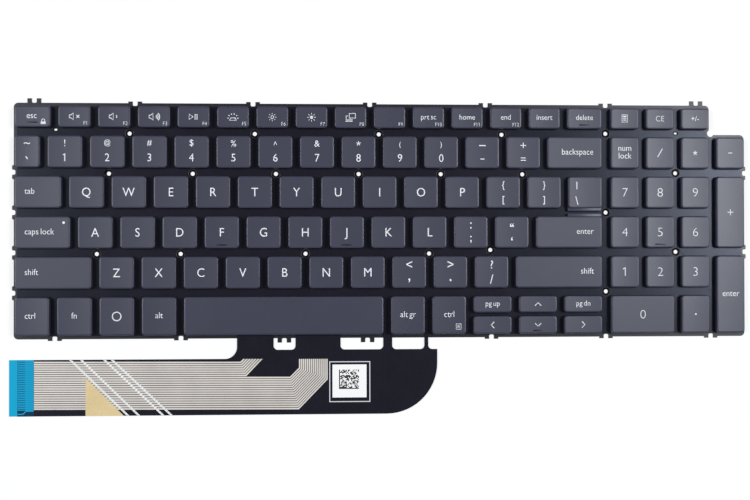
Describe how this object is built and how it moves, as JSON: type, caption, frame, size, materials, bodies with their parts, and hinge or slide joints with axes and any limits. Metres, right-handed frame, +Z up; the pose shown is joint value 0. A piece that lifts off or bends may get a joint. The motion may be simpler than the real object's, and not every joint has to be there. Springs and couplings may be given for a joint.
{
  "type": "laptop keyboard module",
  "caption": "Flat black laptop keyboard module with low scissor keys and a keypad on a stamped plate, with a printed film tail.",
  "frame": {"origin": "middle of the support plate's underside, without its ears and the film tail", "axes": "+X along the key rows to the right, +Y towards the function row, +Z up through the key caps"},
  "size_m": [0.3347, 0.1424, 0.0044],
  "materials": {
    "plate_paint": "satin black paint on sheet steel",
    "black_film": "matte black printed polyester film",
    "blue_stiffener": "satin blue polyester strip",
    "label_paper": "white coated paper",
    "beige_tape": "beige paper backing of an adhesive pad",
    "light_lens": "clear light pipe",
    "dome_rubber": "matte silicone rubber",
    "link_plastic": "moulded black plastic",
    "wire_steel": "bright drawn steel wire",
    "cap_plastic": "fine satin coating on moulded plastic, dark grey"
  },
  "bodies": {
    "base": {"support_plate": "plate_paint", "membrane_sheet": "black_film", "tail_stiffener": "blue_stiffener", "code_label": "label_paper", "adhesive_pad": "beige_tape", "rubber_domes": "dome_rubber", "outer_scissor_links": "link_plastic", "inner_scissor_links": "link_plastic", "stabiliser_wires": "wire_steel", "function_row_caps": "cap_plastic", "symbol_caps": "cap_plastic", "navigation_caps": "cap_plastic", "keypad_caps": "cap_plastic"},
    "key_1": {"key_1": "cap_plastic"},
    "key_2": {"key_2": "cap_plastic"},
    "key_3": {"key_3": "cap_plastic"},
    "key_4": {"key_4": "cap_plastic"},
    "key_5": {"key_5": "cap_plastic"},
    "key_6": {"key_6": "cap_plastic"},
    "key_7": {"key_7": "cap_plastic"},
    "key_8": {"key_8": "cap_plastic"},
    "key_9": {"key_9": "cap_plastic"},
    "key_0": {"key_0": "cap_plastic"},
    "key_backspace": {"key_backspace": "cap_plastic"},
    "key_tab": {"key_tab": "cap_plastic"},
    "key_q": {"key_q": "cap_plastic"},
    "key_w": {"key_w": "cap_plastic"},
    "key_e": {"key_e": "cap_plastic"},
    "key_r": {"key_r": "cap_plastic"},
    "key_t": {"key_t": "cap_plastic"},
    "key_y": {"key_y": "cap_plastic"},
    "key_u": {"key_u": "cap_plastic"},
    "key_i": {"key_i": "cap_plastic"},
    "key_o": {"key_o": "cap_plastic"},
    "key_p": {"key_p": "cap_plastic"},
    "key_caps_lock": {"key_caps_lock": "cap_plastic", "caps_lock_lens": "light_lens"},
    "key_a": {"key_a": "cap_plastic"},
    "key_s": {"key_s": "cap_plastic"},
    "key_d": {"key_d": "cap_plastic"},
    "key_f": {"key_f": "cap_plastic"},
    "key_g": {"key_g": "cap_plastic"},
    "key_h": {"key_h": "cap_plastic"},
    "key_j": {"key_j": "cap_plastic"},
    "key_k": {"key_k": "cap_plastic"},
    "key_l": {"key_l": "cap_plastic"},
    "key_enter": {"key_enter": "cap_plastic"},
    "key_left_shift": {"key_left_shift": "cap_plastic"},
    "key_z": {"key_z": "cap_plastic"},
    "key_x": {"key_x": "cap_plastic"},
    "key_c": {"key_c": "cap_plastic"},
    "key_v": {"key_v": "cap_plastic"},
    "key_b": {"key_b": "cap_plastic"},
    "key_n": {"key_n": "cap_plastic"},
    "key_m": {"key_m": "cap_plastic"},
    "key_right_shift": {"key_right_shift": "cap_plastic"},
    "key_left_ctrl": {"key_left_ctrl": "cap_plastic"},
    "key_left_alt": {"key_left_alt": "cap_plastic"},
    "key_space": {"key_space": "cap_plastic"},
    "key_alt_gr": {"key_alt_gr": "cap_plastic"}
  },
  "joints": [
    {"name": "press_1", "type": "slide", "parent": "base", "child": "key_1", "axis": [0, 0, -1], "range_m": [0, 0.0014], "stiffness_N_per_m": 350, "springref_m": -0.0006, "deforming": ["rubber_domes", "outer_scissor_links", "inner_scissor_links", "stabiliser_wires"]},
    {"name": "press_2", "type": "slide", "parent": "base", "child": "key_2", "axis": [0, 0, -1], "range_m": [0, 0.0014], "stiffness_N_per_m": 350, "springref_m": -0.0006, "deforming": ["rubber_domes", "outer_scissor_links", "inner_scissor_links", "stabiliser_wires"]},
    {"name": "press_3", "type": "slide", "parent": "base", "child": "key_3", "axis": [0, 0, -1], "range_m": [0, 0.0014], "stiffness_N_per_m": 350, "springref_m": -0.0006, "deforming": ["rubber_domes", "outer_scissor_links", "inner_scissor_links", "stabiliser_wires"]},
    {"name": "press_4", "type": "slide", "parent": "base", "child": "key_4", "axis": [0, 0, -1], "range_m": [0, 0.0014], "stiffness_N_per_m": 350, "springref_m": -0.0006, "deforming": ["rubber_domes", "outer_scissor_links", "inner_scissor_links", "stabiliser_wires"]},
    {"name": "press_5", "type": "slide", "parent": "base", "child": "key_5", "axis": [0, 0, -1], "range_m": [0, 0.0014], "stiffness_N_per_m": 350, "springref_m": -0.0006, "deforming": ["rubber_domes", "outer_scissor_links", "inner_scissor_links", "stabiliser_wires"]},
    {"name": "press_6", "type": "slide", "parent": "base", "child": "key_6", "axis": [0, 0, -1], "range_m": [0, 0.0014], "stiffness_N_per_m": 350, "springref_m": -0.0006, "deforming": ["rubber_domes", "outer_scissor_links", "inner_scissor_links", "stabiliser_wires"]},
    {"name": "press_7", "type": "slide", "parent": "base", "child": "key_7", "axis": [0, 0, -1], "range_m": [0, 0.0014], "stiffness_N_per_m": 350, "springref_m": -0.0006, "deforming": ["rubber_domes", "outer_scissor_links", "inner_scissor_links", "stabiliser_wires"]},
    {"name": "press_8", "type": "slide", "parent": "base", "child": "key_8", "axis": [0, 0, -1], "range_m": [0, 0.0014], "stiffness_N_per_m": 350, "springref_m": -0.0006, "deforming": ["rubber_domes", "outer_scissor_links", "inner_scissor_links", "stabiliser_wires"]},
    {"name": "press_9", "type": "slide", "parent": "base", "child": "key_9", "axis": [0, 0, -1], "range_m": [0, 0.0014], "stiffness_N_per_m": 350, "springref_m": -0.0006, "deforming": ["rubber_domes", "outer_scissor_links", "inner_scissor_links", "stabiliser_wires"]},
    {"name": "press_0", "type": "slide", "parent": "base", "child": "key_0", "axis": [0, 0, -1], "range_m": [0, 0.0014], "stiffness_N_per_m": 350, "springref_m": -0.0006, "deforming": ["rubber_domes", "outer_scissor_links", "inner_scissor_links", "stabiliser_wires"]},
    {"name": "press_backspace", "type": "slide", "parent": "base", "child": "key_backspace", "axis": [0, 0, -1], "range_m": [0, 0.0014], "stiffness_N_per_m": 350, "springref_m": -0.0006, "deforming": ["rubber_domes", "outer_scissor_links", "inner_scissor_links", "stabiliser_wires"]},
    {"name": "press_tab", "type": "slide", "parent": "base", "child": "key_tab", "axis": [0, 0, -1], "range_m": [0, 0.0014], "stiffness_N_per_m": 350, "springref_m": -0.0006, "deforming": ["rubber_domes", "outer_scissor_links", "inner_scissor_links", "stabiliser_wires"]},
    {"name": "press_q", "type": "slide", "parent": "base", "child": "key_q", "axis": [0, 0, -1], "range_m": [0, 0.0014], "stiffness_N_per_m": 350, "springref_m": -0.0006, "deforming": ["rubber_domes", "outer_scissor_links", "inner_scissor_links", "stabiliser_wires"]},
    {"name": "press_w", "type": "slide", "parent": "base", "child": "key_w", "axis": [0, 0, -1], "range_m": [0, 0.0014], "stiffness_N_per_m": 350, "springref_m": -0.0006, "deforming": ["rubber_domes", "outer_scissor_links", "inner_scissor_links", "stabiliser_wires"]},
    {"name": "press_e", "type": "slide", "parent": "base", "child": "key_e", "axis": [0, 0, -1], "range_m": [0, 0.0014], "stiffness_N_per_m": 350, "springref_m": -0.0006, "deforming": ["rubber_domes", "outer_scissor_links", "inner_scissor_links", "stabiliser_wires"]},
    {"name": "press_r", "type": "slide", "parent": "base", "child": "key_r", "axis": [0, 0, -1], "range_m": [0, 0.0014], "stiffness_N_per_m": 350, "springref_m": -0.0006, "deforming": ["rubber_domes", "outer_scissor_links", "inner_scissor_links", "stabiliser_wires"]},
    {"name": "press_t", "type": "slide", "parent": "base", "child": "key_t", "axis": [0, 0, -1], "range_m": [0, 0.0014], "stiffness_N_per_m": 350, "springref_m": -0.0006, "deforming": ["rubber_domes", "outer_scissor_links", "inner_scissor_links", "stabiliser_wires"]},
    {"name": "press_y", "type": "slide", "parent": "base", "child": "key_y", "axis": [0, 0, -1], "range_m": [0, 0.0014], "stiffness_N_per_m": 350, "springref_m": -0.0006, "deforming": ["rubber_domes", "outer_scissor_links", "inner_scissor_links", "stabiliser_wires"]},
    {"name": "press_u", "type": "slide", "parent": "base", "child": "key_u", "axis": [0, 0, -1], "range_m": [0, 0.0014], "stiffness_N_per_m": 350, "springref_m": -0.0006, "deforming": ["rubber_domes", "outer_scissor_links", "inner_scissor_links", "stabiliser_wires"]},
    {"name": "press_i", "type": "slide", "parent": "base", "child": "key_i", "axis": [0, 0, -1], "range_m": [0, 0.0014], "stiffness_N_per_m": 350, "springref_m": -0.0006, "deforming": ["rubber_domes", "outer_scissor_links", "inner_scissor_links", "stabiliser_wires"]},
    {"name": "press_o", "type": "slide", "parent": "base", "child": "key_o", "axis": [0, 0, -1], "range_m": [0, 0.0014], "stiffness_N_per_m": 350, "springref_m": -0.0006, "deforming": ["rubber_domes", "outer_scissor_links", "inner_scissor_links", "stabiliser_wires"]},
    {"name": "press_p", "type": "slide", "parent": "base", "child": "key_p", "axis": [0, 0, -1], "range_m": [0, 0.0014], "stiffness_N_per_m": 350, "springref_m": -0.0006, "deforming": ["rubber_domes", "outer_scissor_links", "inner_scissor_links", "stabiliser_wires"]},
    {"name": "press_caps_lock", "type": "slide", "parent": "base", "child": "key_caps_lock", "axis": [0, 0, -1], "range_m": [0, 0.0014], "stiffness_N_per_m": 350, "springref_m": -0.0006, "deforming": ["rubber_domes", "outer_scissor_links", "inner_scissor_links", "stabiliser_wires"]},
    {"name": "press_a", "type": "slide", "parent": "base", "child": "key_a", "axis": [0, 0, -1], "range_m": [0, 0.0014], "stiffness_N_per_m": 350, "springref_m": -0.0006, "deforming": ["rubber_domes", "outer_scissor_links", "inner_scissor_links", "stabiliser_wires"]},
    {"name": "press_s", "type": "slide", "parent": "base", "child": "key_s", "axis": [0, 0, -1], "range_m": [0, 0.0014], "stiffness_N_per_m": 350, "springref_m": -0.0006, "deforming": ["rubber_domes", "outer_scissor_links", "inner_scissor_links", "stabiliser_wires"]},
    {"name": "press_d", "type": "slide", "parent": "base", "child": "key_d", "axis": [0, 0, -1], "range_m": [0, 0.0014], "stiffness_N_per_m": 350, "springref_m": -0.0006, "deforming": ["rubber_domes", "outer_scissor_links", "inner_scissor_links", "stabiliser_wires"]},
    {"name": "press_f", "type": "slide", "parent": "base", "child": "key_f", "axis": [0, 0, -1], "range_m": [0, 0.0014], "stiffness_N_per_m": 350, "springref_m": -0.0006, "deforming": ["rubber_domes", "outer_scissor_links", "inner_scissor_links", "stabiliser_wires"]},
    {"name": "press_g", "type": "slide", "parent": "base", "child": "key_g", "axis": [0, 0, -1], "range_m": [0, 0.0014], "stiffness_N_per_m": 350, "springref_m": -0.0006, "deforming": ["rubber_domes", "outer_scissor_links", "inner_scissor_links", "stabiliser_wires"]},
    {"name": "press_h", "type": "slide", "parent": "base", "child": "key_h", "axis": [0, 0, -1], "range_m": [0, 0.0014], "stiffness_N_per_m": 350, "springref_m": -0.0006, "deforming": ["rubber_domes", "outer_scissor_links", "inner_scissor_links", "stabiliser_wires"]},
    {"name": "press_j", "type": "slide", "parent": "base", "child": "key_j", "axis": [0, 0, -1], "range_m": [0, 0.0014], "stiffness_N_per_m": 350, "springref_m": -0.0006, "deforming": ["rubber_domes", "outer_scissor_links", "inner_scissor_links", "stabiliser_wires"]},
    {"name": "press_k", "type": "slide", "parent": "base", "child": "key_k", "axis": [0, 0, -1], "range_m": [0, 0.0014], "stiffness_N_per_m": 350, "springref_m": -0.0006, "deforming": ["rubber_domes", "outer_scissor_links", "inner_scissor_links", "stabiliser_wires"]},
    {"name": "press_l", "type": "slide", "parent": "base", "child": "key_l", "axis": [0, 0, -1], "range_m": [0, 0.0014], "stiffness_N_per_m": 350, "springref_m": -0.0006, "deforming": ["rubber_domes", "outer_scissor_links", "inner_scissor_links", "stabiliser_wires"]},
    {"name": "press_enter", "type": "slide", "parent": "base", "child": "key_enter", "axis": [0, 0, -1], "range_m": [0, 0.0014], "stiffness_N_per_m": 350, "springref_m": -0.0006, "deforming": ["rubber_domes", "outer_scissor_links", "inner_scissor_links", "stabiliser_wires"]},
    {"name": "press_left_shift", "type": "slide", "parent": "base", "child": "key_left_shift", "axis": [0, 0, -1], "range_m": [0, 0.0014], "stiffness_N_per_m": 350, "springref_m": -0.0006, "deforming": ["rubber_domes", "outer_scissor_links", "inner_scissor_links", "stabiliser_wires"]},
    {"name": "press_z", "type": "slide", "parent": "base", "child": "key_z", "axis": [0, 0, -1], "range_m": [0, 0.0014], "stiffness_N_per_m": 350, "springref_m": -0.0006, "deforming": ["rubber_domes", "outer_scissor_links", "inner_scissor_links", "stabiliser_wires"]},
    {"name": "press_x", "type": "slide", "parent": "base", "child": "key_x", "axis": [0, 0, -1], "range_m": [0, 0.0014], "stiffness_N_per_m": 350, "springref_m": -0.0006, "deforming": ["rubber_domes", "outer_scissor_links", "inner_scissor_links", "stabiliser_wires"]},
    {"name": "press_c", "type": "slide", "parent": "base", "child": "key_c", "axis": [0, 0, -1], "range_m": [0, 0.0014], "stiffness_N_per_m": 350, "springref_m": -0.0006, "deforming": ["rubber_domes", "outer_scissor_links", "inner_scissor_links", "stabiliser_wires"]},
    {"name": "press_v", "type": "slide", "parent": "base", "child": "key_v", "axis": [0, 0, -1], "range_m": [0, 0.0014], "stiffness_N_per_m": 350, "springref_m": -0.0006, "deforming": ["rubber_domes", "outer_scissor_links", "inner_scissor_links", "stabiliser_wires"]},
    {"name": "press_b", "type": "slide", "parent": "base", "child": "key_b", "axis": [0, 0, -1], "range_m": [0, 0.0014], "stiffness_N_per_m": 350, "springref_m": -0.0006, "deforming": ["rubber_domes", "outer_scissor_links", "inner_scissor_links", "stabiliser_wires"]},
    {"name": "press_n", "type": "slide", "parent": "base", "child": "key_n", "axis": [0, 0, -1], "range_m": [0, 0.0014], "stiffness_N_per_m": 350, "springref_m": -0.0006, "deforming": ["rubber_domes", "outer_scissor_links", "inner_scissor_links", "stabiliser_wires"]},
    {"name": "press_m", "type": "slide", "parent": "base", "child": "key_m", "axis": [0, 0, -1], "range_m": [0, 0.0014], "stiffness_N_per_m": 350, "springref_m": -0.0006, "deforming": ["rubber_domes", "outer_scissor_links", "inner_scissor_links", "stabiliser_wires"]},
    {"name": "press_right_shift", "type": "slide", "parent": "base", "child": "key_right_shift", "axis": [0, 0, -1], "range_m": [0, 0.0014], "stiffness_N_per_m": 350, "springref_m": -0.0006, "deforming": ["rubber_domes", "outer_scissor_links", "inner_scissor_links", "stabiliser_wires"]},
    {"name": "press_left_ctrl", "type": "slide", "parent": "base", "child": "key_left_ctrl", "axis": [0, 0, -1], "range_m": [0, 0.0014], "stiffness_N_per_m": 350, "springref_m": -0.0006, "deforming": ["rubber_domes", "outer_scissor_links", "inner_scissor_links", "stabiliser_wires"]},
    {"name": "press_left_alt", "type": "slide", "parent": "base", "child": "key_left_alt", "axis": [0, 0, -1], "range_m": [0, 0.0014], "stiffness_N_per_m": 350, "springref_m": -0.0006, "deforming": ["rubber_domes", "outer_scissor_links", "inner_scissor_links", "stabiliser_wires"]},
    {"name": "press_space", "type": "slide", "parent": "base", "child": "key_space", "axis": [0, 0, -1], "range_m": [0, 0.0014], "stiffness_N_per_m": 350, "springref_m": -0.0006, "deforming": ["rubber_domes", "outer_scissor_links", "inner_scissor_links", "stabiliser_wires"]},
    {"name": "press_alt_gr", "type": "slide", "parent": "base", "child": "key_alt_gr", "axis": [0, 0, -1], "range_m": [0, 0.0014], "stiffness_N_per_m": 350, "springref_m": -0.0006, "deforming": ["rubber_domes", "outer_scissor_links", "inner_scissor_links", "stabiliser_wires"]}
  ]
}
